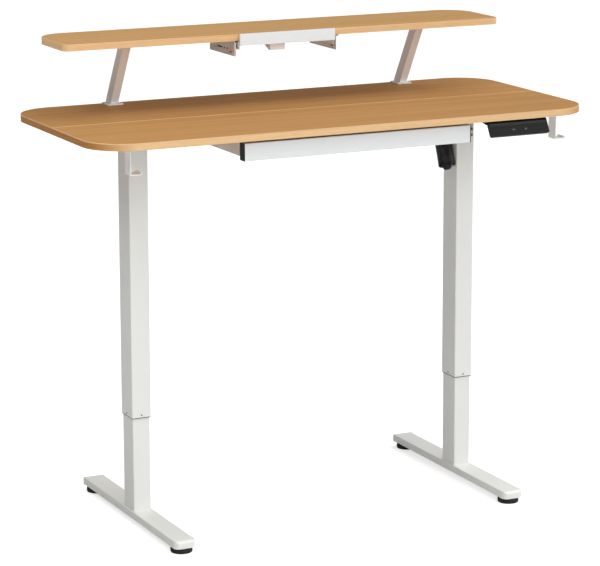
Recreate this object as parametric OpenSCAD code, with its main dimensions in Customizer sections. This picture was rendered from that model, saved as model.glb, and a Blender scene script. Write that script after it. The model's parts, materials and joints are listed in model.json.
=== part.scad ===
// Height adjustable standing desk: two lifting columns, a split top, a monitor shelf and two drawers.
// Millimetres, +Z up, the front faces -Y, the origin is on the floor under the middle of the desk.

/* [Tabletop] */
// Width of the tabletop
top_w = 1400; // [1380:1:1440]
// Height of the tabletop surface above the floor, as drawn
top_h = 1061; // [1061:1:1066]
// Thickness of the boards
board_t = 18; // [16:1:19]
// Distance of the front edge from the column axis
front_reach = 330; // [328:1:334]
// Distance of the rear edge from the column axis
rear_reach = 304; // [303:1:310]
// Corner radius of the tabletop
top_r = 110; // [90:1:120]

/* [Monitor shelf] */
// Width of the monitor shelf
shelf_w = 1268; // [1240:1:1290]
// Height of the shelf surface above the tabletop surface
shelf_rise = 196; // [190:1:200]
// Front edge of the shelf, behind the column axis
shelf_front = 61; // [60:1:64]
// Rear edge of the shelf, behind the column axis
shelf_rear = 290; // [285:1:295]
// Radius of the shelf's rear corners
shelf_r = 80; // [60:1:90]

/* [Columns and feet] */
// Distance of each column axis from the middle
column_x = 477; // [474:0.5:480]
// Outer tube, left to right
outer_x = 53; // [53:0.5:54]
// Outer tube, front to back
outer_y = 74; // [74:0.5:75]
// Inner tube, left to right
inner_x = 48; // [47:0.5:48]
// Inner tube, front to back
inner_y = 67.5; // [67:0.5:67.5]
// Height of the outer tube's lower rim
outer_z0 = 287; // [283:1:295]
// Width of a foot bar
foot_w = 58; // [56:1:60]
// Thickness of a foot bar
foot_t = 20; // [18:1:21]
// Height of a glide between the floor and the bar
glide_h = 15; // [14:1:16]

/* [Drawers] */
// Width of the main drawer front
drawer_w = 640; // [630:1:650]
// Height of the main drawer front
drawer_h = 45; // [44:1:45]
// Width of the shelf drawer front
tray_front_w = 276; // [272:1:278]

/* [Hidden] */
$fn = 64;

wood = [0.72, 0.52, 0.33];
band = [0.88, 0.72, 0.52];
white = [0.90, 0.90, 0.89];
cool_white = [0.91, 0.92, 0.92];
dark = [0.07, 0.07, 0.08];
nylon = [0.20, 0.20, 0.21];
zinc = [0.66, 0.66, 0.67];
steel = [0.55, 0.56, 0.58];

gap = 0.3;
top_under = top_h - board_t;
band_t = 1;
seam_y = (rear_reach - front_reach) / 2;
panel_lip = front_reach + 10;

tube_wall = 1.5;
tube_r = 3;
inner_z0 = glide_h + foot_t;
inner_z1 = 700;
outer_z1 = top_h - 62;
head_t = 3;
shaft_z = top_h - 41;
shaft_af = 10;
gear_near = 7;
gear_far = 14;
gear_slack = 0.4;
screw_r = 8;
screw_neck = 4;
screw_z0 = 450;
nut_z0 = 640;
nut_h = 40;
bush_h = 34;
collar_h = 40;
slide_gap = 0.15;
bracket_half = 215;
bracket_w = 60;

foot_front = 288;
foot_back = 308;
foot_toe = 318;
foot_heel = 316;
toe_round = 9;
toe_corner = 14;
y_shift = (panel_lip - foot_heel) / 2;
glide_y = 288;
glide_r = 28;

rail_w = 25;
rail_y = 48;

drawer_x = 16.5;
drawer_y0 = -310;
drawer_depth = 26;
drawer_z0 = top_under - 53;
slide_t = 12.5;
slide_hh = 17.5;
slide_z = top_under - 25;
slide_half = drawer_w / 2 + 0.5;
tray_half = slide_half - slide_t - 0.2;
tray_y0 = drawer_y0 + drawer_depth + 0.2;
tray_y1 = -63;
sheet = 1.2;

shelf_top = top_h + shelf_rise;
shelf_under = shelf_top - board_t;
riser_x = -12.5;
riser_front_y = shelf_front - 14;
riser_front_t = 7;
riser_front_h = 31;
riser_half = 147;
mini_t = 9;
mini_hh = 10;
mini_z = shelf_under - 15;
riser_tray_half = riser_half - mini_t - 0.3;
riser_tray_z = shelf_under - 11;
riser_back = shelf_front + 158;
riser_bracket_h = 40.5;

leg_x = 22;
leg_y = 36;
leg_foot_y = 266;
leg_lean = 105;
leg_centres = [-418, 447];
plate_t = 3;

motor_x = 427;
motor_y = 17;
motor_r = 22;
motor_tilt = -21;
motor_pivot = top_h - 76;
motor_h = 106;

hook_x = 603;
hook_y = -275;
hook_w = 36;
hook_t = 2.5;

panel_x = 470;
panel_w = 175;
panel_tilt = 61;
panel_face = 43;
panel_t = 8;
key_w = 14;
key_h = 8;
key_low = 11;
key_x = 18;
key_proud = 1;

// Rounded rectangle centred on the origin.
module rrect(x, y, r) {
  square([x - 2 * r, y], center = true);
  square([x, y - 2 * r], center = true);
  for (i = [-1, 1])
    for (j = [-1, 1])
      translate([i * (x / 2 - r), j * (y / 2 - r)])
        circle(r);
}

// Upright tube with rounded corners.
module tube(x, y, wall, h) {
  linear_extrude(h)
    difference() {
      rrect(x, y, tube_r);
      rrect(x - 2 * wall, y - 2 * wall, tube_r - wall + 0.5);
    }
}

// Outline of a board with its own radius at the front and the rear corners.
module outline(w, y0, y1, rf, rb) {
  translate([-w / 2, y0 + rf])
    square([w, y1 - rb - y0 - rf]);
  translate([-w / 2 + rf, y0])
    square([w - 2 * rf, rf + 1]);
  translate([-w / 2 + rb, y1 - rb - 1])
    square([w - 2 * rb, rb + 1]);
  for (i = [-1, 1]) {
    translate([i * (w / 2 - rf), y0 + rf])
      circle(rf, $fn = 96);
    translate([i * (w / 2 - rb), y1 - rb])
      circle(rb, $fn = 96);
  }
}

module top_outline(inset) {
  outline(top_w - 2 * inset, inset - front_reach, rear_reach - inset, top_r - inset, top_r - inset);
}

module shelf_outline(inset) {
  outline(shelf_w - 2 * inset, shelf_front + inset, shelf_rear - inset, 20 - inset, shelf_r - inset);
}

module seam_half(side) {
  translate([-top_w, side > 0 ? seam_y + 0.2 : seam_y - 0.2 - top_w])
    square([2 * top_w, top_w]);
}

// The tabletop screws' places under the side brackets.
module screw_places() {
  for (i = [-1, 1])
    for (y = [-190, -120, 120, 190])
      translate([i * column_x, y])
        children();
}

module top_board(side) {
  color(wood)
    difference() {
      translate([0, 0, top_under])
        linear_extrude(board_t)
          intersection() {
            top_outline(band_t + 0.05);
            seam_half(side);
          }
      screw_places()
        translate([0, 0, top_under - 1])
          cylinder(h = 13.5, r = 2.8);
    }
}

module tabletop_front() {
  top_board(-1);
}

module tabletop_rear() {
  top_board(1);
}

module tabletop_edge_band() {
  color(band)
    for (side = [-1, 1])
      translate([0, 0, top_under])
        linear_extrude(board_t)
          intersection() {
            difference() {
              top_outline(0);
              top_outline(band_t);
            }
            seam_half(side);
          }
}

module tabletop_screws() {
  color(zinc)
    screw_places() {
      translate([0, 0, top_under - head_t - 0.2 - 3])
        cylinder(h = 3, r = 5);
      translate([0, 0, top_under - head_t - 0.5])
        cylinder(h = head_t + 12, r = 2.5);
    }
}

module riser_shelf() {
  color(wood)
    translate([0, 0, shelf_under])
      linear_extrude(board_t)
        shelf_outline(band_t + 0.05);
}

module riser_edge_band() {
  color(band)
    translate([0, 0, shelf_under])
      linear_extrude(board_t)
        difference() {
          shelf_outline(0);
          shelf_outline(band_t);
        }
}

// Side view of a leaning leg between its two plates.
module leg_side(inset) {
  z0 = top_h + plate_t + 0.05;
  z1 = shelf_under - plate_t - 0.05;
  k = leg_lean / (shelf_under - top_h);
  over = inset > 0 ? 1 : 0;
  polygon([
    [leg_foot_y + inset + k * over, z0 - over],
    [leg_foot_y + leg_y - inset + k * over, z0 - over],
    [leg_foot_y + leg_y - inset - k * (z1 - z0 + over), z1 + over],
    [leg_foot_y + inset - k * (z1 - z0 + over), z1 + over]
  ]);
}

module riser_legs() {
  color(white)
    for (x = leg_centres)
      difference() {
        translate([x - leg_x / 2, 0, 0])
          rotate([90, 0, 90])
            linear_extrude(leg_x)
              leg_side(0);
        translate([x - leg_x / 2 + tube_wall, 0, 0])
          rotate([90, 0, 90])
            linear_extrude(leg_x - 2 * tube_wall)
              leg_side(tube_wall);
      }
}

module riser_plates() {
  color(white)
    for (x = leg_centres) {
      translate([x, leg_foot_y + leg_y / 2 - 5, top_h])
        linear_extrude(plate_t)
          rrect(46, 46, 4);
      translate([x, leg_foot_y + leg_y / 2 - leg_lean + 3, shelf_under - plate_t])
        linear_extrude(plate_t)
          rrect(46, 70, 4);
    }
}

// Slots and holes punched through a slide bracket, seen from the side.
module bracket_slots() {
  translate([shelf_front + 25, shelf_under - 31])
    slot_shape(13, 3.4);
  translate([shelf_front + 47, shelf_under - 24.5])
    slot_shape(7, 5.5);
  translate([shelf_front + 66, shelf_under - 24.5])
    slot_shape(8, 5.5);
  translate([shelf_front + 94, shelf_under - 24.5])
    slot_shape(32, 4);
  for (y = [8, 119, 130, 151])
    translate([shelf_front + y, shelf_under - 27])
      circle(2.2);
}

module slot_shape(len, w) {
  square([len - w, w], center = true);
  for (i = [-1, 1])
    translate([i * (len - w) / 2, 0])
      circle(w / 2);
}

// Side plate of a slide bracket with a flange that screws up into the shelf.
module riser_bracket(side) {
  xb = riser_x + side * (riser_half + tube_wall / 2);
  xf = xb + side * (tube_wall / 2 + 6.5);
  color(zinc) {
    difference() {
      translate([xb - tube_wall / 2, shelf_front, shelf_under - riser_bracket_h])
        cube([tube_wall, riser_back - shelf_front, riser_bracket_h]);
      translate([xb - tube_wall, 0, 0])
        rotate([90, 0, 90])
          linear_extrude(2 * tube_wall)
            bracket_slots();
    }
    translate([xf - 7, shelf_front + 6, shelf_under - tube_wall])
      cube([14, riser_back - shelf_front - 12, tube_wall]);
  }
}

module riser_bracket_left() {
  riser_bracket(-1);
  color(zinc)
    translate([riser_x - riser_half - tube_wall, shelf_front, shelf_under - riser_bracket_h])
      cube([4.8, tube_wall, riser_bracket_h - 5]);
}

module riser_bracket_right() {
  riser_bracket(1);
}

// Section of one slide member: a web and two flanges.
module slide_section(web, hh, x0, x1) {
  translate([web, -hh])
    square([sheet, 2 * hh]);
  for (z = [-hh, hh - sheet])
    translate([x0, z])
      square([x1 - x0, sheet]);
}

module riser_slide_outer() {
  color(zinc)
    for (i = [-1, 1])
      translate([riser_x + i * riser_half, riser_back - 2, mini_z])
        rotate([90, 0, 0])
          linear_extrude(riser_back - shelf_front - 6)
            scale_x(-i)
              slide_section(0, mini_hh, 0, 6.5);
}

module riser_slide_inner() {
  color(steel)
    for (i = [-1, 1])
      translate([riser_x + i * riser_half, riser_back - 12, mini_z])
        rotate([90, 0, 0])
          linear_extrude(riser_back - shelf_front - 16)
            scale_x(-i)
              slide_section(mini_t - sheet, mini_hh - sheet - 1.6, 4, mini_t);
}

// Mirrors a section left to right when side is negative.
module scale_x(side) {
  mirror([side < 0 ? 1 : 0, 0])
    children();
}

module riser_drawer_front() {
  color(cool_white) {
    translate([riser_x - tray_front_w / 2, riser_front_y, shelf_top + 1 - riser_front_h])
      cube([tray_front_w, riser_front_t, riser_front_h]);
  }
}

module riser_drawer_tray() {
  w = riser_tray_half;
  y0 = riser_front_y + riser_front_t + 0.1;
  color(cool_white)
    difference() {
      translate([riser_x - w, y0, mini_z - mini_hh + 2])
        cube([2 * w, riser_back - 6 - y0, riser_tray_z - mini_z + mini_hh + 7]);
      translate([riser_x - w + sheet, y0 + sheet, riser_tray_z + sheet])
        cube([2 * w - 2 * sheet, riser_back - 6 - y0 - 2 * sheet, 20]);
      translate([riser_x - w + sheet, y0 - 1, mini_z - 20])
        cube([2 * w - 2 * sheet, riser_back, riser_tray_z - mini_z + 20]);
    }
}

// Wedge-shaped pull under the tray, hollowed for the fingers from below.
module riser_drawer_pull() {
  z1 = riser_tray_z - 0.1;
  color(white)
    difference() {
      translate([riser_x - 44, 0, 0])
        rotate([90, 0, 90])
          linear_extrude(43)
            polygon([
              [shelf_front + 4, z1],
              [shelf_front + 4, z1 - 19.5],
              [shelf_front + 14, z1 - 19.5],
              [shelf_front + 52, z1 - 4],
              [shelf_front + 52, z1]
            ]);
      translate([riser_x - 45, 0, 0])
        rotate([90, 0, 90])
          linear_extrude(7)
            polygon([
              [shelf_front + 15, z1 - 2],
              [shelf_front + 15, z1 - 13],
              [shelf_front + 44, z1 - 4.5],
              [shelf_front + 44, z1 - 2]
            ]);
      translate([riser_x - 34, shelf_front + 8, z1 - 21])
        cube([28, 24, 14]);
    }
}

module drawer_front() {
  color(cool_white)
    translate([drawer_x - drawer_w / 2, drawer_y0, drawer_z0])
      rotate([90, 0, 90])
        linear_extrude(drawer_w)
          difference() {
            square([drawer_depth, drawer_h]);
            translate([1.8, 1.8])
              square([drawer_depth - 3.6, drawer_h - 3.6]);
          }
}

module drawer_end_caps() {
  color(dark)
    for (i = [-1, 1])
      translate([drawer_x + i * (drawer_w / 2 + 1.05) - 1, drawer_y0, drawer_z0])
        cube([2, drawer_depth, drawer_h]);
}

module drawer_tray() {
  h = top_under - 15 - drawer_z0 - 4;
  color(cool_white)
    difference() {
      translate([drawer_x - tray_half, tray_y0, drawer_z0 + 4])
        cube([2 * tray_half, tray_y1 - tray_y0, h]);
      translate([drawer_x - tray_half + sheet, tray_y0 + sheet, drawer_z0 + 4 + sheet])
        cube([2 * (tray_half - sheet), tray_y1 - tray_y0 - 2 * sheet, h]);
    }
}

// Main drawer slides: three nested members on each side, web towards the bracket.
module slide_pair(y0, y1) {
  for (i = [-1, 1])
    translate([drawer_x + i * slide_half, y1, slide_z])
      rotate([90, 0, 0])
        linear_extrude(y1 - y0)
          scale_x(-i)
            children();
}

module drawer_slide_outer() {
  color(zinc)
    slide_pair(-282, -64)
      slide_section(0, slide_hh, 0, 9);
}

module drawer_slide_middle() {
  color(steel)
    slide_pair(-276, -96)
      slide_section(4.6, slide_hh - 1.5, 3, 8);
}

module drawer_slide_inner() {
  color(zinc)
    slide_pair(-283, -72)
      slide_section(slide_t - sheet, slide_hh - 4.5, 7, slide_t);
}

module drawer_bracket_left() {
  xb = drawer_x - slide_half - tube_wall;
  color(zinc) {
    translate([xb, -282, slide_z - slide_hh])
      cube([tube_wall, 220, top_under - slide_z + slide_hh]);
    translate([xb, -282, top_under - tube_wall])
      cube([22, 220, tube_wall]);
  }
}

module drawer_bracket_right() {
  xb = drawer_x + slide_half;
  color(zinc) {
    translate([xb, -282, slide_z - slide_hh])
      cube([tube_wall, 220, top_under - slide_z + slide_hh]);
    translate([xb - 20.5, -282, top_under - tube_wall])
      cube([22, 220, tube_wall]);
    translate([xb, -283.5, slide_z - slide_hh])
      cube([22, tube_wall, 2 * slide_hh]);
  }
  color(dark)
    for (z = [-13, 2])
      translate([xb + 18.5, -283, slide_z + z])
        rotate([90, 0, 0])
          cylinder(h = 2.5, r = 2.9);
}

module column_outer(side) {
  color(white)
    difference() {
      translate([side * column_x, 0, outer_z0])
        tube(outer_x, outer_y, tube_wall, outer_z1 - outer_z0);
      translate([side * column_x, 0, outer_z0 + 6])
        rotate([90, 0, 0])
          cylinder(h = outer_y, r = 2);
      translate([side * column_x, 0, outer_z0 + 6])
        rotate([0, -90, 0])
          cylinder(h = outer_x, r = 2);
    }
}

module column_outer_left() {
  column_outer(-1);
}

module column_outer_right() {
  column_outer(1);
}

module guide_bushes() {
  color(nylon)
    for (i = [-1, 1])
      translate([i * column_x, 0, outer_z0 + 1])
        linear_extrude(bush_h)
          difference() {
            rrect(outer_x - 2 * tube_wall - 0.1, outer_y - 2 * tube_wall - 0.1, 2);
            rrect(inner_x + 2 * slide_gap, inner_y + 2 * slide_gap, tube_r);
          }
}

module side_bracket(side) {
  color(white)
    translate([side * column_x, 0, 0])
      difference() {
        union() {
          translate([-bracket_w / 2, -bracket_half, top_under - head_t])
            cube([bracket_w, 2 * bracket_half, head_t]);
          for (i = [-1, 1])
            translate([i * (bracket_w / 2 - 1.25) - 1.25, 0, 0])
              rotate([90, 0, 90])
                linear_extrude(2.5)
                  polygon([
                    [-bracket_half, top_under - head_t],
                    [-bracket_half, top_under - 12],
                    [-110, top_under - 34],
                    [110, top_under - 34],
                    [bracket_half, top_under - 12],
                    [bracket_half, top_under - head_t]
                  ]);
        }
        translate([-side * bracket_w, 0, shaft_z])
          rotate([0, side * 90, 0])
            cylinder(h = bracket_w, r = 9);
        for (y = [-190, -120, 120, 190])
          translate([0, y, top_under - head_t - 1])
            cylinder(h = head_t + 2, r = 3);
      }
}

module side_bracket_left() {
  side_bracket(-1);
}

module side_bracket_right() {
  side_bracket(1);
}

module frame_rails() {
  half = column_x - bracket_w / 2 - 0.2;
  color(white)
    for (j = [-1, 1])
      translate([-half, j * rail_y, top_under - 2 - rail_w / 2])
        rotate([90, 0, 90])
          linear_extrude(2 * half)
            difference() {
              rrect(rail_w, rail_w, 2.5);
              rrect(rail_w - 2 * tube_wall, rail_w - 2 * tube_wall, 1.5);
            }
}

// Housing on a column head with a cavity for the bevel pair.
module gearbox(side) {
  z0 = outer_z1 + 0.5;
  z1 = top_under - head_t - 0.3;
  color(dark)
    translate([side * column_x, 0, 0])
      difference() {
        translate([0, 0, z0])
          linear_extrude(z1 - z0)
            rrect(50, 64, 4);
        translate([-20, -24, z0 + 4])
          cube([40, 48, z1 - z0 - 7]);
        translate([0, 0, z0 - 1])
          cylinder(h = 8, r = screw_r + 1);
        translate([-side * 30, 0, shaft_z])
          rotate([0, side * 90, 0])
            cylinder(h = 15, r = 8);
      }
}

module gearbox_left() {
  gearbox(-1);
}

module gearbox_right() {
  gearbox(1);
}

// Worm housing: a block round the shaft between the rails, a wider foot under the rear rail, and a neck.
module motor_gearbox() {
  z0 = motor_pivot + 11;
  color(dark)
    difference() {
      union() {
        translate([motor_x - 7, 11, z0])
          linear_extrude(18)
            rrect(46, 74, 6);
        translate([motor_x - 7, 4.5, z0])
          linear_extrude(top_under - 1 - z0)
            rrect(46, 61, 6);
        on_motor()
          translate([0, 0, -0.7])
            cylinder(h = 24, r = 18);
      }
      translate([motor_x - 36, 0, shaft_z])
        rotate([0, 90, 0])
          cylinder(h = 60, r = 8);
    }
}

// Frame of the motor: its axis leans so that the lower end is nearer the front.
module on_motor() {
  translate([motor_x, motor_y, motor_pivot])
    rotate([motor_tilt, 0, 0])
      children();
}

module motor_body() {
  color(dark)
    on_motor() {
      translate([0, 0, -motor_h - 1])
        cylinder(h = motor_h, r = motor_r);
      for (i = [-1, 1])
        translate([i * 15 - 4, motor_r - 9, -16])
          cube([8, 10, 14]);
    }
}

// End cap: a shell whose rim is cut into lugs, and a bearing boss in the middle.
module motor_cap() {
  color(nylon)
    on_motor() {
      difference() {
        translate([0, 0, -motor_h - 12])
          cylinder(h = 10.9, r = motor_r + 0.5);
        for (a = [0, 60, 120])
          rotate([0, 0, a + 12])
            translate([-motor_r - 2, -5, -motor_h - 13])
              cube([2 * motor_r + 4, 10, 6]);
      }
      translate([0, 0, -motor_h - 17])
        cylinder(h = 12, r1 = 12, r2 = 15);
      translate([0, 0, -motor_h - 21])
        cylinder(h = 5, r1 = 8, r2 = 10);
    }
}

module hex_shaft() {
  half = column_x - gear_near;
  color(steel)
    translate([-half, 0, shaft_z])
      rotate([0, 90, 0])
        cylinder(h = 2 * half, r = shaft_af / 2 / cos(30), $fn = 6);
}

// A bevel gear's body; the two axes cross at its apex, which is the origin.
module bevel() {
  translate([0, 0, gear_near])
    cylinder(h = gear_far - gear_near, r1 = gear_near - gear_slack, r2 = gear_far - gear_slack);
}

module shaft_pinions() {
  color(zinc)
    for (i = [-1, 1])
      translate([i * column_x, 0, shaft_z])
        rotate([0, -i * 90, 0])
          difference() {
            union() {
              bevel();
              translate([0, 0, gear_far])
                cylinder(h = 4, r = 10);
            }
            cylinder(h = gear_far + 5, r = (shaft_af / 2 + 0.05) / cos(30), $fn = 6);
          }
}

module screw_gear(side) {
  color(zinc)
    translate([side * column_x, 0, shaft_z])
      mirror([0, 0, 1])
        difference() {
          bevel();
          cylinder(h = gear_far + 1, r = screw_neck + 0.05);
        }
}

module screw_gear_left() {
  screw_gear(-1);
}

module screw_gear_right() {
  screw_gear(1);
}

module lead_screw(side) {
  z1 = shaft_z - gear_far - 0.3;
  color(steel)
    translate([side * column_x, 0, 0]) {
      translate([0, 0, screw_z0])
        cylinder(h = z1 - screw_z0, r = screw_r);
      translate([0, 0, screw_z0])
        cylinder(h = shaft_z - gear_near - 1 - screw_z0, r = screw_neck);
    }
}

module lead_screw_left() {
  lead_screw(-1);
}

module lead_screw_right() {
  lead_screw(1);
}

module control_box() {
  color(dark)
    difference() {
      translate([-90, 130, top_under - 33])
        linear_extrude(32.8)
          rrect(220, 110, 8);
      for (x = [-170, -140, -110])
        translate([x, 60, top_under - 26])
          cube([20, 24, 12]);
      translate([-60, 60, top_under - 27])
        cube([28, 24, 20]);
    }
}

// Frame of the control panel: its face leans forward from the edge of the top downwards.
module panel_frame() {
  translate([panel_x, -front_reach - 10, top_under - 38.4])
    rotate([panel_tilt, 0, 0])
      children();
}

// Plates behind and over the panel, and an ear at its left end whose tab runs behind the housing.
module panel_holder() {
  w = panel_w - 26;
  color(dark) {
    panel_frame()
      translate([-w / 2, 3, -panel_t - 3.2])
        cube([w, 36, 3]);
    translate([panel_x - w / 2, -front_reach + 16, top_under - 3])
      cube([w, 46, 3]);
    translate([panel_x - panel_w / 2, -front_reach + 14, top_under])
      rotate([-90, 0, 0])
        linear_extrude(6.8)
          polygon([[-16, 0], [-gap, 0], [-gap, 10.8], [-16, 1.5]]);
    translate([panel_x - panel_w / 2 - 1, -front_reach + 18.3, top_under - 11])
      cube([21, 2.5, 11]);
  }
}

module panel_key_openings() {
  for (i = [-1, 1])
    translate([i * key_x - key_w / 2 - gap, key_low - gap, -5])
      cube([key_w + 2 * gap, key_h + 2 * gap, 6]);
}

module panel_housing() {
  color(dark)
    panel_frame()
      difference() {
        translate([0, panel_face / 2, -panel_t])
          linear_extrude(panel_t)
            rrect(panel_w, panel_face, 5);
        panel_key_openings();
      }
}

module panel_key(side) {
  color(nylon)
    panel_frame()
      translate([side * key_x - key_w / 2, key_low, -3])
        cube([key_w, key_h, 3 + key_proud]);
}

module key_up() {
  panel_key(1);
}

module key_down() {
  panel_key(-1);
}

// Strip hook screwed under the top: tab, strap and a lip that turns up at its end.
module headphone_hooks() {
  z0 = top_under - 68;
  color(white)
    for (i = [-1, 1])
      translate([i * hook_x, hook_y + hook_w / 2, 0])
        rotate([90, 0, 0])
          linear_extrude(hook_w) {
            translate([-32, top_under - hook_t])
              square([32 + hook_t, hook_t]);
            translate([0, z0])
              square([hook_t, 68]);
            translate([0, z0])
              square([30, hook_t]);
            translate([30 - hook_t, z0])
              square([hook_t, 7]);
          }
}

module column_inner(side) {
  color(white)
    translate([side * column_x, 0, inner_z0])
      tube(inner_x, inner_y, tube_wall, inner_z1 - inner_z0);
}

module column_inner_left() {
  column_inner(-1);
}

module column_inner_right() {
  column_inner(1);
}

// Threaded nut block held inside the inner tube's upper end.
module drive_nut(side) {
  color(nylon)
    translate([side * column_x, 0, nut_z0])
      difference() {
        linear_extrude(nut_h)
          rrect(inner_x - 2 * tube_wall - 0.2, inner_y - 2 * tube_wall - 0.2, 2);
        translate([0, 0, -1])
          cylinder(h = nut_h + 2, r = screw_r + 0.06);
      }
}

module drive_nut_left() {
  drive_nut(-1);
}

module drive_nut_right() {
  drive_nut(1);
}

// Nylon collar round the inner tube's top, running inside the outer tube.
module glide_collar(side) {
  color(nylon)
    translate([side * column_x, 0, inner_z1 - collar_h])
      linear_extrude(collar_h)
        difference() {
          rrect(outer_x - 2 * tube_wall - 2 * slide_gap, outer_y - 2 * tube_wall - 2 * slide_gap, 2);
          rrect(inner_x + 0.1, inner_y + 0.1, tube_r);
        }
}

module glide_collar_left() {
  glide_collar(-1);
}

module glide_collar_right() {
  glide_collar(1);
}

// Plate inside the inner tube's lower end, with the four screws that hold the foot.
module base_plate(side) {
  color(zinc)
    translate([side * column_x, 0, inner_z0 + 0.1]) {
      linear_extrude(6)
        rrect(inner_x - 2 * tube_wall - 0.2, inner_y - 2 * tube_wall - 0.2, 2);
      for (i = [-1, 1])
        for (j = [-1, 1])
          translate([i * 12, j * 20, 5])
            cylinder(h = 7, r = 5, $fn = 6);
    }
}

module base_plate_left() {
  base_plate(-1);
}

module base_plate_right() {
  base_plate(1);
}

module foot_bar(side) {
  color(white)
    translate([side * column_x, foot_back, glide_h + foot_t / 2])
      rotate([90, 0, 0])
        linear_extrude(foot_front + foot_back)
          difference() {
            rrect(foot_w, foot_t, 2.5);
            rrect(foot_w - 3, foot_t - 3, 1.5);
          }
}

module foot_bar_left() {
  foot_bar(-1);
}

module foot_bar_right() {
  foot_bar(1);
}

// Side view of a toe: flat on top, then rounded over to a short upright face.
module toe_side() {
  z1 = glide_h + foot_t;
  toe = -foot_front - 0.1;
  difference() {
    polygon([[toe, glide_h], [toe, z1], [-foot_toe, z1], [-foot_toe, glide_h]]);
    difference() {
      translate([-foot_toe - 1, z1 - toe_round])
        square([toe_round + 1, toe_round + 1]);
      translate([-foot_toe + toe_round, z1 - toe_round])
        circle(toe_round);
    }
  }
}

// Plastic ends of a foot bar: a rounded toe and a blunt heel.
module foot_caps(side) {
  z0 = glide_h;
  z1 = glide_h + foot_t;
  heel = foot_back + 0.1;
  color(white)
    translate([side * column_x, 0, 0]) {
      intersection() {
        translate([-foot_w / 2, 0, 0])
          rotate([90, 0, 90])
            linear_extrude(foot_w)
              toe_side();
        translate([0, -foot_front, z0])
          linear_extrude(foot_t)
            rrect(foot_w, 2 * (foot_toe - foot_front), toe_corner);
      }
      translate([-foot_w / 2, 0, 0])
        rotate([90, 0, 90])
          linear_extrude(foot_w)
            polygon([[heel, z0], [heel, z1], [foot_heel - 2, z1], [foot_heel, z0 + 16], [foot_heel, z0]]);
    }
}

module foot_caps_left() {
  foot_caps(-1);
}

module foot_caps_right() {
  foot_caps(1);
}

module glides(side) {
  color(dark)
    for (j = [-1, 1])
      translate([side * column_x, j * glide_y, 0]) {
        cylinder(h = 3, r1 = glide_r - 1, r2 = glide_r);
        translate([0, 0, 3])
          cylinder(h = 6, r = glide_r);
        translate([0, 0, 9])
          cylinder(h = glide_h - 9.1, r1 = glide_r, r2 = glide_r - 4);
      }
}

module glides_left() {
  glides(-1);
}

module glides_right() {
  glides(1);
}

translate([0, y_shift, 0]) {
  tabletop_front();
  tabletop_rear();
  tabletop_edge_band();
  tabletop_screws();
  riser_shelf();
  riser_edge_band();
  riser_legs();
  riser_plates();
  riser_bracket_left();
  riser_bracket_right();
  riser_slide_outer();
  riser_drawer_front();
  riser_drawer_tray();
  riser_slide_inner();
  riser_drawer_pull();
  drawer_front();
  drawer_end_caps();
  drawer_tray();
  drawer_slide_inner();
  drawer_slide_middle();
  drawer_slide_outer();
  drawer_bracket_left();
  drawer_bracket_right();
  column_outer_left();
  column_outer_right();
  guide_bushes();
  side_bracket_left();
  side_bracket_right();
  frame_rails();
  gearbox_left();
  gearbox_right();
  motor_gearbox();
  motor_body();
  motor_cap();
  hex_shaft();
  shaft_pinions();
  lead_screw_left();
  lead_screw_right();
  screw_gear_left();
  screw_gear_right();
  control_box();
  panel_holder();
  panel_housing();
  key_up();
  key_down();
  headphone_hooks();
  column_inner_left();
  drive_nut_left();
  glide_collar_left();
  base_plate_left();
  foot_bar_left();
  foot_caps_left();
  glides_left();
  column_inner_right();
  drive_nut_right();
  glide_collar_right();
  base_plate_right();
  foot_bar_right();
  foot_caps_right();
  glides_right();
}
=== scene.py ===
import json
import math
import bmesh
import bpy
from mathutils import Matrix, Vector

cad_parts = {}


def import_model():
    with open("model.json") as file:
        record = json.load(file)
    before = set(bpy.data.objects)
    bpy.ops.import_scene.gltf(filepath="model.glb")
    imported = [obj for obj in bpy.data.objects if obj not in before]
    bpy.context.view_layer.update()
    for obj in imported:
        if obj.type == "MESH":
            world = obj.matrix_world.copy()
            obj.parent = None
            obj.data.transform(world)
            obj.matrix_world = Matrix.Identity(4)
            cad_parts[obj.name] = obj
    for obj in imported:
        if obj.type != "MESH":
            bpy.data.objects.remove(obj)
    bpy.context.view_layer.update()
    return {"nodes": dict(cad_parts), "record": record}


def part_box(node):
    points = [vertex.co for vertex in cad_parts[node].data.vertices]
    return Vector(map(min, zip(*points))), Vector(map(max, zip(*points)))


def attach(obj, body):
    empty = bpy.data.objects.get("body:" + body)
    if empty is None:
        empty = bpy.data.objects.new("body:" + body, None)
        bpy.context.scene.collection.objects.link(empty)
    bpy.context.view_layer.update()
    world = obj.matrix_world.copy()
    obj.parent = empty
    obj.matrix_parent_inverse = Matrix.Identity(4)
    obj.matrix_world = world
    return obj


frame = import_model()
NODES = frame["nodes"]
SC = bpy.context.scene


# ---------------------------------------------------------------- camera
CAMERA_TURN = (25.907, 11.315, -0.115)  # yaw, pitch and roll in degrees
CAMERA_PLACE = (-3.01628, -6.19411, 2.14071)  # metres
SENSOR_WIDTH = 36  # millimetres, as the focal length is
FOCAL_LENGTH = 159.515
LENS_SHIFT = -0.105  # moves the picture up or down without tipping the camera


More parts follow.
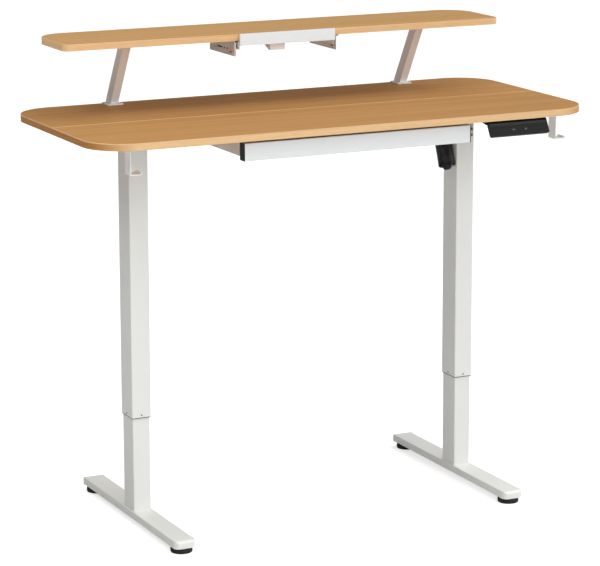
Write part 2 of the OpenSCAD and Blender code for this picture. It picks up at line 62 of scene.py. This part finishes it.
def camera():
    """A long lens in front of the desk and to its left, higher than the shelf."""
    yaw, pitch, roll = (math.radians(v) for v in CAMERA_TURN)
    fwd = Vector((math.sin(yaw) * math.cos(pitch), math.cos(yaw) * math.cos(pitch), -math.sin(pitch)))
    right = Vector((math.cos(yaw), -math.sin(yaw), 0))
    up = right.cross(fwd)
    across = right * math.cos(roll) + up * math.sin(roll)
    upright = -right * math.sin(roll) + up * math.cos(roll)
    data = bpy.data.cameras.new("photo_camera")
    cam = bpy.data.objects.new("photo_camera", data)
    SC.collection.objects.link(cam)
    m = Matrix((across, upright, -fwd)).transposed().to_4x4()
    m.translation = Vector(CAMERA_PLACE)
    cam.matrix_world = m
    data.sensor_width = SENSOR_WIDTH
    data.lens = FOCAL_LENGTH
    data.shift_y = LENS_SHIFT
    data.clip_start = 0.5
    data.clip_end = 200
    SC.camera = cam


camera()


# ---------------------------------------------------------------- node helpers
class Tree:
    """Builds a node material in a few words."""

    def __init__(self, name):
        self.m = bpy.data.materials.new(name)
        self.m.use_nodes = True
        self.t = self.m.node_tree
        self.t.nodes.clear()
        self.out = self.n("ShaderNodeOutputMaterial")
        self.b = self.n("ShaderNodeBsdfPrincipled")
        self.link(self.b.outputs[0], self.out.inputs[0])
        self.tc = self.n("ShaderNodeTexCoord")

    def n(self, kind, **kw):
        node = self.t.nodes.new(kind)
        for k, v in kw.items():
            setattr(node, k, v)
        return node

    def link(self, a, b):
        self.t.links.new(a, b)

    def put(self, socket, value):
        if hasattr(value, "is_output"):
            self.link(value, socket)
        else:
            socket.default_value = value

    def coords(self, scale, loc=(0, 0, 0), rot=(0, 0, 0), src=None):
        mp = self.n("ShaderNodeMapping")
        self.link(src or self.tc.outputs["Object"], mp.inputs[0])
        mp.inputs["Location"].default_value = loc
        mp.inputs["Rotation"].default_value = rot
        mp.inputs["Scale"].default_value = scale
        return mp.outputs[0]

    def noise(self, vec, scale=1.0, detail=4.0, rough=0.55, dist=0.0):
        t = self.n("ShaderNodeTexNoise")
        self.link(vec, t.inputs["Vector"])
        t.inputs["Scale"].default_value = scale
        t.inputs["Detail"].default_value = detail
        t.inputs["Roughness"].default_value = rough
        t.inputs["Distortion"].default_value = dist
        return t.outputs["Fac"]

    def ramp(self, fac, stops):
        r = self.n("ShaderNodeValToRGB")
        self.link(fac, r.inputs[0])
        e = r.color_ramp.elements
        while len(e) < len(stops):
            e.new(0.5)
        for k, (p, c) in enumerate(stops):
            e[k].position = p
            e[k].color = (*c, 1) if len(c) == 3 else c
        return r.outputs[0]

    def grey(self, fac, a, b, lo=0.0, hi=1.0):
        r = self.n("ShaderNodeMapRange")
        r.clamp = True
        self.link(fac, r.inputs[0])
        r.inputs[1].default_value, r.inputs[2].default_value = a, b
        r.inputs[3].default_value, r.inputs[4].default_value = lo, hi
        return r.outputs[0]

    def mix(self, fac, a, b, kind="MIX"):
        x = self.n("ShaderNodeMix", data_type="RGBA", blend_type=kind)
        self.put(x.inputs[0], fac)
        self.put(x.inputs[6], a if hasattr(a, "is_output") else (*a, 1))
        self.put(x.inputs[7], b if hasattr(b, "is_output") else (*b, 1))
        return x.outputs[2]

    def math(self, op, a, b=0.0):
        x = self.n("ShaderNodeMath", operation=op)
        self.put(x.inputs[0], a)
        self.put(x.inputs[1], b)
        return x.outputs[0]

    def bump(self, height, dist, strength=1.0):
        b = self.n("ShaderNodeBump")
        b.inputs["Strength"].default_value = strength
        b.inputs["Distance"].default_value = dist
        self.link(height, b.inputs["Height"])
        self.link(b.outputs[0], self.b.inputs["Normal"])

    def set(self, **kw):
        names = {"color": "Base Color", "rough": "Roughness", "metal": "Metallic",
                 "spec": "Specular IOR Level"}
        for k, v in kw.items():
            s = self.b.inputs[names[k]]
            if k == "color" and not hasattr(v, "is_output"):
                v = (*v, 1)
            self.put(s, v)
        return self.m


# ---------------------------------------------------------------- materials
WOOD_SHADES = ((0.462, 0.242, 0.085), (0.418, 0.208, 0.067), (0.494, 0.269, 0.104))  # middle, dark, light
STRIP_LIGHT = ((0.70, 0.445, 0.225), (0.82, 0.555, 0.305))
# Painted shade: the colours of the strip's darker ends, which stand for shade.
STRIP_SHADE = ((0.38, 0.165, 0.040), (0.50, 0.235, 0.066))
FLECK = (0.30, 0.15, 0.06)


def wood(name, offset, painted_light_tone):
    """Straight-grained laminate: faint wide bands, fine streaks along the board and short dark pores."""
    t = Tree(name)
    base = t.coords((1.0, 1.0, 1.0), loc=offset)
    broad = t.noise(t.coords((0.5, 34, 34), src=base), 1.0, 3, 0.5, 0.2)
    streak = t.noise(t.coords((1.3, 240, 240), src=base), 1.0, 5, 0.62, 0.1)
    fine = t.noise(t.coords((6, 760, 760), src=base), 1.0, 3, 0.6)
    pores = t.noise(t.coords((22, 1500, 1500), src=base), 1.0, 2, 0.5)
    # painted_light_tone scales the three shades; above 1 it is painted light, as on the shelf.
    middle, dark, light = ([v * k for v, k in zip(shade, painted_light_tone)] for shade in WOOD_SHADES)
    col = t.ramp(broad, [(0.30, dark), (0.50, middle), (0.72, light)])
    col = t.mix(t.grey(streak, 0.44, 0.66, 0.0, 0.50), col, dark)
    col = t.mix(t.grey(fine, 0.45, 0.70, 0.0, 0.35), col, light)
    col = t.mix(t.grey(pores, 0.62, 0.74, 0.0, 0.40), col, [v * 0.6 for v in dark])
    height = t.math("ADD", t.grey(pores, 0.62, 0.74, 0.0, -1.0), t.math("MULTIPLY", fine, 0.25))
    t.bump(height, 0.00012, 0.6)
    return t.set(color=col, rough=t.grey(streak, 0.3, 0.7, 0.50, 0.62), spec=0.15)


def edge_strip(name, top, shade_from, shade_to):
    """Veneer strip whose ends are painted darker round the corners as painted shade, all but a thin light
    arris at the top.
    """
    t = Tree(name)
    base = t.coords((1, 1, 1))
    streak = t.noise(t.coords((3, 3, 420), src=base), 1.0, 4, 0.6)
    fleck = t.noise(t.coords((30, 30, 1100), src=base), 1.0, 2, 0.5)
    light = t.ramp(streak, list(zip((0.3, 0.7), STRIP_LIGHT)))
    dark = t.ramp(streak, list(zip((0.3, 0.7), STRIP_SHADE)))
    sep = t.n("ShaderNodeSeparateXYZ")
    t.link(base, sep.inputs[0])
    # Painted shade: the strip darkens towards its two ends, where its side turns from the light, all but a
    # thin arris at the top.
    end = t.grey(t.math("ABSOLUTE", sep.outputs[0]), shade_from, shade_to)
    below = t.grey(sep.outputs[2], top - 0.0028, top - 0.0018, 1.0, 0.0)
    col = t.mix(t.math("MULTIPLY", end, below), light, dark)
    col = t.mix(t.grey(fleck, 0.6, 0.75, 0.0, 0.25), col, FLECK)
    t.bump(fleck, 0.00008, 0.5)
    return t.set(color=col, rough=0.5, spec=0.15)


def powder(name, color, rough=0.42, peel=0.00010, dirt=0.05):
    """Powder coat: orange peel, faint clouding and a few darker specks."""
    t = Tree(name)
    v = t.coords((1, 1, 1))
    orange = t.noise(v, 900, 3, 0.5)
    cloud = t.noise(v, 6, 3, 0.5)
    speck = t.noise(v, 2600, 1, 0.5)
    col = t.mix(t.grey(cloud, 0.35, 0.65, 0.0, dirt), color, [c * 0.86 for c in color])
    col = t.mix(t.grey(speck, 0.70, 0.78, 0.0, 0.25), col, [c * 0.7 for c in color])
    t.bump(orange, peel, 0.5)
    return t.set(color=col, rough=t.grey(cloud, 0.3, 0.7, rough - 0.05, rough + 0.06), spec=0.45)


def plastic(name, color, rough=0.5, grain=1500, depth=0.00012, spec=0.5):
    """Moulded plastic: fine grain, and gloss that varies a little."""
    t = Tree(name)
    v = t.coords((1, 1, 1))
    g = t.noise(v, grain, 3, 0.6)
    cloud = t.noise(v, 35, 3, 0.55)
    col = t.mix(t.grey(cloud, 0.35, 0.65, 0.0, 0.5), color, [min(1, c * 1.35 + 0.004) for c in color])
    t.bump(g, depth, 0.6)
    return t.set(color=col, rough=t.grey(cloud, 0.3, 0.7, rough - 0.07, rough + 0.07), spec=spec)


def metal(name, color, rough=0.35, axis=(1, 60, 60), depth=0.00004, metallic=0.9):
    """Bare metal brushed along one axis."""
    t = Tree(name)
    v = t.coords(axis)
    brush = t.noise(v, 40, 4, 0.65)
    cloud = t.noise(t.coords((1, 1, 1)), 22, 3, 0.6)
    col = t.mix(t.grey(cloud, 0.35, 0.68), [c * 0.82 for c in color], color)
    t.bump(brush, depth, 0.5)
    return t.set(color=col, metal=metallic, rough=t.grey(brush, 0.3, 0.7, rough - 0.08, rough + 0.12))


TOP_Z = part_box("tabletop_front")[1][2]
SHELF_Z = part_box("riser_shelf")[1][2]
M = {
    "laminate": wood("wood_top_front", (0, 0, 0), (1, 1, 1)),
    "laminate_rear": wood("wood_top_rear", (3.1, 0.37, 0), (1, 1, 1)),
    # Painted light: the shelf's wood is painted lighter, as the desk's top beneath it lies in the shelf's
    # shade.
    "laminate_shelf": wood("wood_shelf", (7.3, 1.13, 0), (1.10, 1.20, 1.34)),
    # The last two numbers set where the painted shade on each strip's ends begins and where it is full.
    "edge_band": edge_strip("edge_strip", TOP_Z, 0.600, 0.690),
    "edge_shelf": edge_strip("edge_strip_shelf", SHELF_Z, 0.632, 0.720),
    "white_steel": powder("white_powder_coat", (0.80, 0.81, 0.785)),
    # Painted light: the same white coat painted brighter on the shelf's legs, plates and pull and on the
    # hooks, to stand for light on them.
    "white_painted_brighter": powder("white_coat_painted_brighter", (0.93, 0.935, 0.935), dirt=0.03),
    "drawer_steel": powder("cool_white_coat", (0.80, 0.825, 0.83), rough=0.36, peel=0.00005, dirt=0.03),
    "shelf_drawer_coat": powder("cool_white_coat_shelf", (0.79, 0.85, 0.89), rough=0.36,
                                peel=0.00005, dirt=0.03),
    "zinc": metal("zinc_sheet", (0.80, 0.72, 0.64), 0.50, (60, 1, 60), metallic=0.45),
    "steel": metal("turned_steel", (0.58, 0.58, 0.60), 0.28),
    "black_plastic": plastic("black_moulding", (0.007, 0.007, 0.008), 0.42, spec=0.25),
    "motor_paint": plastic("motor_paint", (0.010, 0.010, 0.011), 0.30, 800, 0.00006, 0.35),
    "nylon": plastic("dark_nylon", (0.060, 0.060, 0.064), 0.55),
    "cast_housing": plastic("cast_housing", (0.085, 0.085, 0.090), 0.5, 500, 0.0003),
    "gloss_black": plastic("display_window", (0.004, 0.004, 0.005), 0.14, 300, 0.00001, 0.4),
    "fascia_grey": plastic("fascia_moulding", (0.006, 0.006, 0.006), 0.50, 1900, 0.00008, 0.16),
    "mark_paint": plastic("key_mark_paint", (0.10, 0.10, 0.10), 0.5, 1900, 0.00003),
    "rubber_glide": plastic("glide_rubber", (0.014, 0.014, 0.015), 0.62, 900, 0.0002, 0.35),
}
SLOT = {s["node"]: s["material_slot"] for s in frame["record"]["subparts"]}
# The shelf's legs, plates and pull and the hooks take the white painted brighter, as painted light.
SPECIAL = {"tabletop_rear": "laminate_rear", "riser_shelf": "laminate_shelf", "riser_edge_band": "edge_shelf",
           "riser_drawer_front": "shelf_drawer_coat",
           "riser_legs": "white_painted_brighter", "riser_plates": "white_painted_brighter",
           "riser_drawer_pull": "white_painted_brighter", "headphone_hooks": "white_painted_brighter"}
for name, ob in NODES.items():
    ob.data.materials.clear()
    ob.data.materials.append(M[SPECIAL.get(name, SLOT[name])])


# ---------------------------------------------------------------- softened edges on the CAD solids
def soften(name, width, segments=2, round_shape=False):
    """Rounds off the sharp edges of a solid; a round shape is shaded smooth as well."""
    ob = NODES[name]
    ob.modifiers.new("weld", "WELD").merge_threshold = 0.00001
    b = ob.modifiers.new("edge", "BEVEL")
    b.width = width
    b.segments = segments
    b.limit_method = "ANGLE"
    b.angle_limit = math.radians(30)
    if round_shape:
        ob.data.shade_smooth()
        ob.modifiers.new("even", "WEIGHTED_NORMAL").weight = 100


BOXY = {
    "drawer_front": 0.0009, "riser_drawer_front": 0.0009, "riser_drawer_pull": 0.0008,
    "drawer_end_caps": 0.0005,
    "panel_holder": 0.0006, "panel_housing": 0.0006, "key_up": 0.0006, "key_down": 0.0006,
    "headphone_hooks": 0.0008, "riser_plates": 0.0006, "riser_legs": 0.0012, "control_box": 0.0012,
}
TURNED = ("motor_body", "motor_cap", "glides_left", "glides_right", "tabletop_screws", "lead_screw_left",
          "lead_screw_right", "screw_gear_left", "screw_gear_right", "shaft_pinions")
for name, width in BOXY.items():
    soften(name, width)
for name in ("foot_caps_left", "foot_caps_right"):
    soften(name, 0.0014, 3, True)
for name in TURNED:
    NODES[name].data.shade_smooth()


# ---------------------------------------------------------------- detail pieces
Y_SHIFT = 12  # how far part.scad moves the finished desk along Y, in millimetres


def at(x, y, z):
    """Desk millimetres, as part.scad draws them before its shift along Y, to metres in the frame."""
    return Vector((x, y + Y_SHIFT, z)) / 1000


def tilted(origin, degrees):
    """A frame turned about X, as the panel and the motor are; returns its point and direction functions."""
    c, s = math.cos(math.radians(degrees)), math.sin(math.radians(degrees))
    ox, oy, oz = origin

    def point(x, y, z):
        return at(ox + x, oy + y * c - z * s, oz + y * s + z * c)
    return point, Vector((0, -s, c))


TOP = TOP_Z * 1000
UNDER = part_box("tabletop_front")[0][2] * 1000
SHELF_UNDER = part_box("riser_shelf")[0][2] * 1000
RISER_X = sum(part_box("riser_drawer_front")[k][0] for k in (0, 1)) * 500
COLUMN_X = sum(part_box("column_outer_right")[k][0] for k in (0, 1)) * 500
on_panel, PANEL_OUT = tilted((470, -340, UNDER - 38.4), 61)
on_motor, MOTOR_AXIS = tilted((427, 17, UNDER - 58), -21)


def lathe(bm, place, axis, profile, seg=28, loop=False):
    """Turns (radius, height) pairs in millimetres about an axis; a third value makes that ring a hexagon."""
    turn = Vector((0, 0, 1)).rotation_difference(Vector(axis)).to_matrix()
    rings = []
    for r, h, *six in profile:
        if r == 0:
            rings.append([bm.verts.new(place + turn @ Vector((0, 0, h)) / 1000)])
            continue
        ring = []
        for k in range(seg):
            a = 2 * math.pi * k / seg
            q = r * math.cos(math.pi / 6) / math.cos(a % (math.pi / 3) - math.pi / 6) if six else r
            ring.append(bm.verts.new(place + turn @ Vector((q * math.cos(a), q * math.sin(a), h)) / 1000))
        rings.append(ring)
    pairs = list(zip(rings, rings[1:])) + ([(rings[-1], rings[0])] if loop else [])
    for a, b in pairs:
        for k in range(seg):
            quad = [a[k % len(a)], a[(k + 1) % len(a)], b[(k + 1) % len(b)], b[k % len(b)]]
            corners = list(dict.fromkeys(quad))
            if len(corners) > 2:
                bm.faces.new(corners)


def screw(bm, place, axis, r, h):
    """Pan head with a hexagon socket."""
    lathe(bm, place, axis, [(0, 0), (r * 0.97, 0), (r, h * 0.25), (r * 0.97, h * 0.6), (r * 0.82, h * 0.9),
                            (r * 0.66, h), (r * 0.50, h, 1), (r * 0.46, h * 0.45, 1), (0, h * 0.4)])


def prism(bm, outline, point, w0, w1):
    """Solid between two copies of an outline; point(u, v, w) places a corner."""
    a, b = ([bm.verts.new(point(u, v, w)) for u, v in outline] for w in (w0, w1))
    bm.faces.new(a)
    bm.faces.new(b)
    for k in range(len(outline)):
        j = (k + 1) % len(outline)
        bm.faces.new((a[k], a[j], b[j], b[k]))


def rounded(cx, cy, w, h, r, seg=5):
    """Outline of a rounded rectangle."""
    pts = []
    for q, (i, j) in enumerate(((1, 1), (-1, 1), (-1, -1), (1, -1))):
        for k in range(seg + 1):
            a = math.pi / 2 * (q + k / seg)
            pts.append((cx + i * (w / 2 - r) + r * math.cos(a), cy + j * (h / 2 - r) + r * math.sin(a)))
    return pts


def piece(name, body, slot, build, material=None, bevel=0.0, smooth=False):
    """Makes one extra piece: its mesh, its finish and the body that it rides on; the slot gives the finish
    when no material is named.
    """
    bm = bmesh.new()
    build(bm)
    bmesh.ops.recalc_face_normals(bm, faces=bm.faces)
    me = bpy.data.meshes.new(name)
    bm.to_mesh(me)
    bm.free()
    me.materials.append(M[material or slot])
    ob = bpy.data.objects.new(name, me)
    SC.collection.objects.link(ob)
    if smooth:
        me.shade_smooth()
        me.set_sharp_from_angle(angle=math.radians(40))
    if bevel:
        b = ob.modifiers.new("edge", "BEVEL")
        b.width = bevel
        b.segments = 2
        b.limit_method = "ANGLE"
    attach(ob, body)
    return ob


SEAM_Y = -13
SEAM_HALF = 698.6


def seam_lips(bm):
    """The rounded arrises of the two boards along the seam."""
    for side in (-1, 1):
        y = SEAM_Y + side * 0.2
        arc = [(y + side * u, v) for u, v in (
            (0, -1.2), (0, -0.10), (0.18, 0.10), (0.55, 0.16), (1.1, 0.10), (1.5, -0.10), (1.5, -1.2))]
        prism(bm, arc, lambda u, v, w: at(w, u, TOP + v), -SEAM_HALF, SEAM_HALF)


def fascia(bm):
    """Lower face of the panel: a thin moulding cut out round the two keys."""
    xs, ys = (-85, -25.5, -10.5, 10.5, 25.5, 85), (2, 10.5, 19.5, 27)
    for i in range(5):
        for j in range(3):
            if j == 1 and i in (1, 3):
                continue
            cell = [(xs[i], ys[j]), (xs[i + 1], ys[j]), (xs[i + 1], ys[j + 1]), (xs[i], ys[j + 1])]
            prism(bm, cell, on_panel, 0.02, 0.45)
    bmesh.ops.remove_doubles(bm, verts=bm.verts, dist=1e-6)
    hidden = [f for f in bm.faces if any(
        g is not f and set(g.verts) == set(f.verts) for e in f.edges for g in e.link_faces)]
    bmesh.ops.delete(bm, geom=hidden, context="FACES")


def display(bm):
    """The glossy window above the keys."""
    prism(bm, rounded(0, 34.4, 170, 13.4, 2.2), on_panel, 0.02, 0.55)


KEY_X, KEY_Y = 18, 15


def key_mark(side):
    """A plain triangle with a blunt tip on a key, up or down."""
    def build(bm):
        x, y = side * KEY_X, KEY_Y
        foot, tip = y - side * 1.7, y + side * 1.9
        tri = [(x - 2.6, foot), (x + 2.6, foot), (x + 0.5, tip), (x - 0.5, tip)]
        prism(bm, tri, on_panel, 1.0, 1.12)
    return build


def shelf_stop_screw(bm):
    """One black screw head under the shelf, beside the drawer's right bracket."""
    screw(bm, at(138.5, 66, SHELF_UNDER), (0, 0, -1), 4.6, 3.8)


def face_screws(bm):
    """Black screws on the front flange of the main drawer's right bracket."""
    hi_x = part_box("drawer_bracket_right")[1][0] * 1000
    for z in (UNDER - 38, UNDER - 23):
        screw(bm, at(hi_x - 3.5, -283.6, z), (0, -1, 0), 3.2, 2.9)


def slot_shade_fills(bm):
    """Dark fills inside the punched slots and holes of the shelf drawer's two brackets: painted shade for the
    shadowed space behind them.
    """
    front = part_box("riser_bracket_left")[0][1] * 1000 - Y_SHIFT
    slots = [(25, 31, 13, 3.4), (47, 24.5, 7, 5.5), (66, 24.5, 8, 5.5), (94, 24.5, 32, 4)]
    holes = [(y, 27, 4.4, 4.4) for y in (8, 119, 130, 151)]
    for x in (RISER_X - 148.1, RISER_X + 147.1):
        for y, below, length, height in slots + holes:
            shape = rounded(front + y, SHELF_UNDER - below, length - 0.3, height - 0.3, height / 2 - 0.2)
            prism(bm, shape, lambda u, v, w: at(w, u, v), x, x + 1.0)


LEG_XS = (-418, 447)
LEG_FOOT_Y, LEG_HEAD_Y = 279, 182
PLATE_T = 3


def plate_screws(bm):
    """Four screws in each plate, at the foot and the head of the shelf's two legs."""
    for x in LEG_XS:
        for i in (-1, 1):
            for j in (-1, 1):
                screw(bm, at(x + i * 17.5, LEG_FOOT_Y + j * 17.5, TOP + PLATE_T), (0, 0, 1), 3.1, 1.5)
                screw(bm, at(x + i * 17.5, LEG_HEAD_Y + j * 29, SHELF_UNDER - PLATE_T), (0, 0, -1), 3.1, 1.5)


def set_screws(bm):
    """Socket set screws just inside the holes at the outer tubes' rims."""
    cup = [(0, -1.1), (1.8, -1.1), (1.8, 0.6), (1.5, 0.9), (1.0, 0.9, 1), (0.9, -0.2, 1), (0, -0.3)]
    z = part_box("column_outer_right")[0][2] * 1000 + 6
    for side in (-1, 1):
        lathe(bm, at(side * COLUMN_X, -36.9, z), (0, -1, 0), cup)
        lathe(bm, at(side * COLUMN_X - 26.4, 0, z), (-1, 0, 0), cup)


def collar(bm, outer, inner, point, w0, w1):
    """Closed ring between two outlines with as many points; point(u, v, w) places a corner."""
    loops = [[bm.verts.new(point(u, v, w)) for u, v in line] for w, line in (
        (w0, inner), (w0, outer), (w1, outer), (w1, inner))]
    n = len(outer)
    for a, b in zip(loops, loops[1:] + loops[:1]):
        for k in range(n):
            bm.faces.new((a[k], a[(k + 1) % n], b[(k + 1) % n], b[k]))


def rim_wipers_and_shade(bm):
    """Dark wiper collars under the outer tubes' rims, just clear of the inner tubes; their dark colour also
    paints the shade in the joint between the tubes.
    """
    for tag in ("left", "right"):
        lo, hi = (Vector(v) * 1000 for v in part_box("column_outer_" + tag))
        x, y = (lo.x + hi.x) / 2, (lo.y + hi.y) / 2 - Y_SHIFT
        ilo, ihi = (Vector(v) * 1000 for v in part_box("column_inner_" + tag))
        outer = rounded(x, y, hi.x - lo.x - 0.8, hi.y - lo.y - 0.8, 2.8)
        inner = rounded(x, y, ihi.x - ilo.x + 0.6, ihi.y - ilo.y + 0.6, 3.0)
        collar(bm, outer, inner, at, lo.z - 2.0, lo.z - 0.05)


def motor_bands(bm):
    """Rolled seams round the motor's shell, at its top and above its end cap."""
    band = [(21.7, -1.4), (22.5, -1.0), (22.7, 0), (22.5, 1.0), (21.7, 1.4)]
    for h in (-104.5, -98.0, -7.0):
        lathe(bm, on_motor(0, 0, h), MOTOR_AXIS, band, 56, True)


def motor_ribs(bm):
    """Four through-bolt ribs down the motor's shell."""
    for k in range(4):
        a = math.radians(25 + 90 * k)
        c, s = math.cos(a), math.sin(a)
        rib = [(21.4, -2.2), (22.6, -1.6), (23.0, 0), (22.6, 1.6), (21.4, 2.2)]
        prism(bm, rib, lambda u, v, w: on_motor(u * c - v * s, u * s + v * c, w), -95, -10)


def gearbox_screws(bm):
    """Four screws in the front face of the motor's gearbox."""
    for i in (-1, 1):
        for z in (UNDER - 42, UNDER - 7):
            screw(bm, at(420 + i * 16, -26, z), (0, -1, 0), 2.8, 2.2)


HOOK_X = 603


def hook_screws(bm):
    """Two screws under the top for each hook."""
    for i in (-1, 1):
        for j in (-1, 1):
            screw(bm, at(i * HOOK_X - 17, -275 + j * 12, UNDER - 2.5), (0, 0, -1), 4.2, 2.4)


def slide_screws(bm):
    """Screws that hold the main drawer's two brackets under the top."""
    box_l, box_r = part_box("drawer_bracket_left"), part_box("drawer_bracket_right")
    for x in (box_l[0][0] * 1000 + 17.5, box_r[0][0] * 1000 + 4.5):
        for y in (-262, -172, -82):
            screw(bm, at(x, y, UNDER - 1.5), (0, 0, -1), 3.4, 1.8)


def cap_ribs(bm):
    """Grip ribs on the outer faces of the main drawer's end caps."""
    lo, hi = (Vector(v) * 1000 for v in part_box("drawer_end_caps"))
    for side, x in ((-1, lo.x), (1, hi.x)):
        for k in range(4):
            y = lo.y - Y_SHIFT + 4 + 5.4 * k
            rib = [(y, lo.z + 3), (y + 1.6, lo.z + 3), (y + 1.6, hi.z - 3), (y, hi.z - 3)]
            prism(bm, rib, lambda u, v, w: at(w, u, v), x - side * 0.2, x + side * 0.35)


FOOT_MID_Z = 25
GLIDE_Y = 288


def toe_lip(side):
    """Thin raised lip where a foot's toe and heel mouldings meet its bar."""
    def build(bm):
        x = side * COLUMN_X
        for y0, y1 in ((-289.4, -288.2), (308.2, 309.4)):
            outer, inner = (rounded(x, FOOT_MID_Z, w, h, r) for w, h, r in (
                (58.7, 20.7, 2.8), (57.4, 19.4, 2.3)))
            collar(bm, outer, inner, lambda u, v, w: at(u, w, v), y0, y1)
    return build


def glide_rings(side):
    """Tread ring and shoulder ring on each levelling glide."""
    def build(bm):
        for y in (-GLIDE_Y, GLIDE_Y):
            for z, r in ((3.2, 28.0), (8.6, 28.0), (12.4, 26.2)):
                lathe(bm, at(side * COLUMN_X, y, z), (0, 0, 1),
                      [(r - 0.8, -0.6), (r + 0.35, -0.4), (r + 0.35, 0.4), (r - 0.8, 0.6)], 64, True)
    return build


def box_sockets(bm):
    """Plug shells in the control box's sockets."""
    lo = Vector(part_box("control_box")[0]) * 1000
    for x, w in ((-160, 16), (-130, 16), (-100, 16), (-46, 24)):
        y = lo.y - Y_SHIFT
        prism(bm, rounded(x, UNDER - 20, w, 9, 1.5), lambda u, v, d: at(u, d, v), y - 1.2, y + 6)


piece("seam_lips", "top", "edge_band", seam_lips)
piece("panel_fascia", "top", "black_plastic", fascia, "fascia_grey")
piece("panel_display", "top", "black_plastic", display, "gloss_black", bevel=0.0002)
piece("up_mark", "up_key", "black_plastic", key_mark(1), "mark_paint")
piece("down_mark", "down_key", "black_plastic", key_mark(-1), "mark_paint")
piece("shelf_stop_screw", "top", "black_plastic", shelf_stop_screw, smooth=True)
piece("bracket_face_screws", "top", "black_plastic", face_screws, smooth=True)
# Painted shade in the brackets' slots and holes.
piece("slot_shade_fills", "top", "nylon", slot_shade_fills, "black_plastic", bevel=0.0001)
piece("riser_plate_screws", "top", "zinc", plate_screws, smooth=True)
piece("rim_set_screws", "top", "steel", set_screws, "black_plastic", smooth=True)
# Wiper collars whose dark colour is partly painted shade in the tube joints.
piece("rim_wipers_and_shade", "top", "nylon", rim_wipers_and_shade)
piece("motor_bands", "top", "motor_paint", motor_bands, smooth=True)
piece("motor_ribs", "top", "motor_paint", motor_ribs, bevel=0.0003)
piece("gearbox_screws", "top", "steel", gearbox_screws, smooth=True)
piece("hook_screws", "top", "zinc", hook_screws, smooth=True)
piece("slide_bracket_screws", "top", "zinc", slide_screws, smooth=True)
piece("drawer_cap_ribs", "main_drawer", "black_plastic", cap_ribs, bevel=0.0002)
for tag, sign in (("left", -1), ("right", 1)):
    piece("foot_lips_" + tag, "base_" + tag, "white_steel", toe_lip(sign))
    piece("glide_rings_" + tag, "base_" + tag, "rubber_glide", glide_rings(sign), smooth=True)
piece("control_box_sockets", "top", "nylon", box_sockets, bevel=0.0004)


# ---------------------------------------------------------------- light and floor
WORLD_GLOW = 1.04
WORLD_LEAST = 0.10
FLOOR_HALF = 60  # metres
FLOOR_GREY = (0.72, 0.72, 0.72)
FLOOR_LIFT = 0.60  # what the camera sees is lifted towards white by this much
LIGHTS = (  # name, place, target, size, watts, colour
    ("key", (-0.6, -5.6, 3.4), (0, 0, 0.75), (5.0, 3.2), 61, (1, 1, 1)),
    ("left_top", (-2.4, -1.2, 3.6), (-0.3, -0.1, 0.4), (1.8, 1.8), 50, (1, 0.98, 0.93)),
    ("left_front", (-2.3, -2.8, 1.45), (0, 0.15, 1.12), (1.6, 0.5), 7, (1, 1, 0.98)),
    ("top", (5.2, -1.0, 5.2), (0, 0, 0.9), (4.0, 4.0), 160, (1, 1, 1)),
)


def floor():
    """A plain pale floor, lifted towards white only for the camera."""
    me = bpy.data.meshes.new("floor")
    s = FLOOR_HALF
    me.from_pydata([(-s, -s, 0), (s, -s, 0), (s, s, 0), (-s, s, 0)], [], [(0, 1, 2, 3)])
    ob = bpy.data.objects.new("floor", me)
    SC.collection.objects.link(ob)
    t = Tree("studio_floor")
    seen = t.n("ShaderNodeLightPath").outputs["Is Camera Ray"]
    t.b.inputs["Emission Color"].default_value = (1, 1, 1, 1)
    t.link(t.math("MULTIPLY", seen, FLOOR_LIFT), t.b.inputs["Emission Strength"])
    t.set(color=FLOOR_GREY, rough=0.9, spec=0.0)
    me.materials.append(t.m)


def area(name, loc, target, size, watts, color):
    """A rectangular soft light aimed at a point."""
    d = bpy.data.lights.new(name, "AREA")
    d.shape = "RECTANGLE"
    d.size, d.size_y = size
    d.energy = watts
    d.color = color
    ob = bpy.data.objects.new(name, d)
    SC.collection.objects.link(ob)
    ob.location = loc
    ob.rotation_euler = (Vector(target) - Vector(loc)).to_track_quat("-Z", "Y").to_euler()


def world():
    """A tent of light: bright from the right, front and above, dark on the left and low at the back."""
    w = bpy.data.worlds.new("studio")
    SC.world = w
    w.use_nodes = True
    t = w.node_tree
    n, link = t.nodes.new, t.links.new
    sep = n("ShaderNodeSeparateXYZ")
    link(n("ShaderNodeTexCoord").outputs["Generated"], sep.inputs[0])

    def smooth(source, lo, hi):
        r = n("ShaderNodeMapRange")
        r.interpolation_type = "SMOOTHSTEP"
        link(source, r.inputs[0])
        r.inputs[1].default_value, r.inputs[2].default_value = lo, hi
        return r.outputs[0]

    def calc(op, a, b):
        m = n("ShaderNodeMath")
        m.operation = op
        for k, v in enumerate((a, b)):
            if hasattr(v, "is_output"):
                link(v, m.inputs[k])
            else:
                m.inputs[k].default_value = v
        return m.outputs[0]

    side = smooth(sep.outputs[0], -0.6, 0.2)
    high = smooth(calc("ADD", sep.outputs[2], calc("MULTIPLY", sep.outputs[1], -0.7)), -0.2, 0.6)
    glow = calc("ADD", calc("MULTIPLY", calc("MULTIPLY", side, high), WORLD_GLOW), WORLD_LEAST)
    bg = t.nodes["Background"]
    link(glow, bg.inputs[1])
    white = n("ShaderNodeBackground")
    mx = n("ShaderNodeMixShader")
    link(n("ShaderNodeLightPath").outputs["Is Camera Ray"], mx.inputs[0])
    link(bg.outputs[0], mx.inputs[1])
    link(white.outputs[0], mx.inputs[2])
    link(mx.outputs[0], t.nodes["World Output"].inputs[0])
    bg.inputs[0].default_value = (1, 1, 1, 1)
    white.inputs[0].default_value = (1, 1, 1, 1)


floor()
world()
for light in LIGHTS:
    area(*light)
SC.view_settings.view_transform = "Standard"
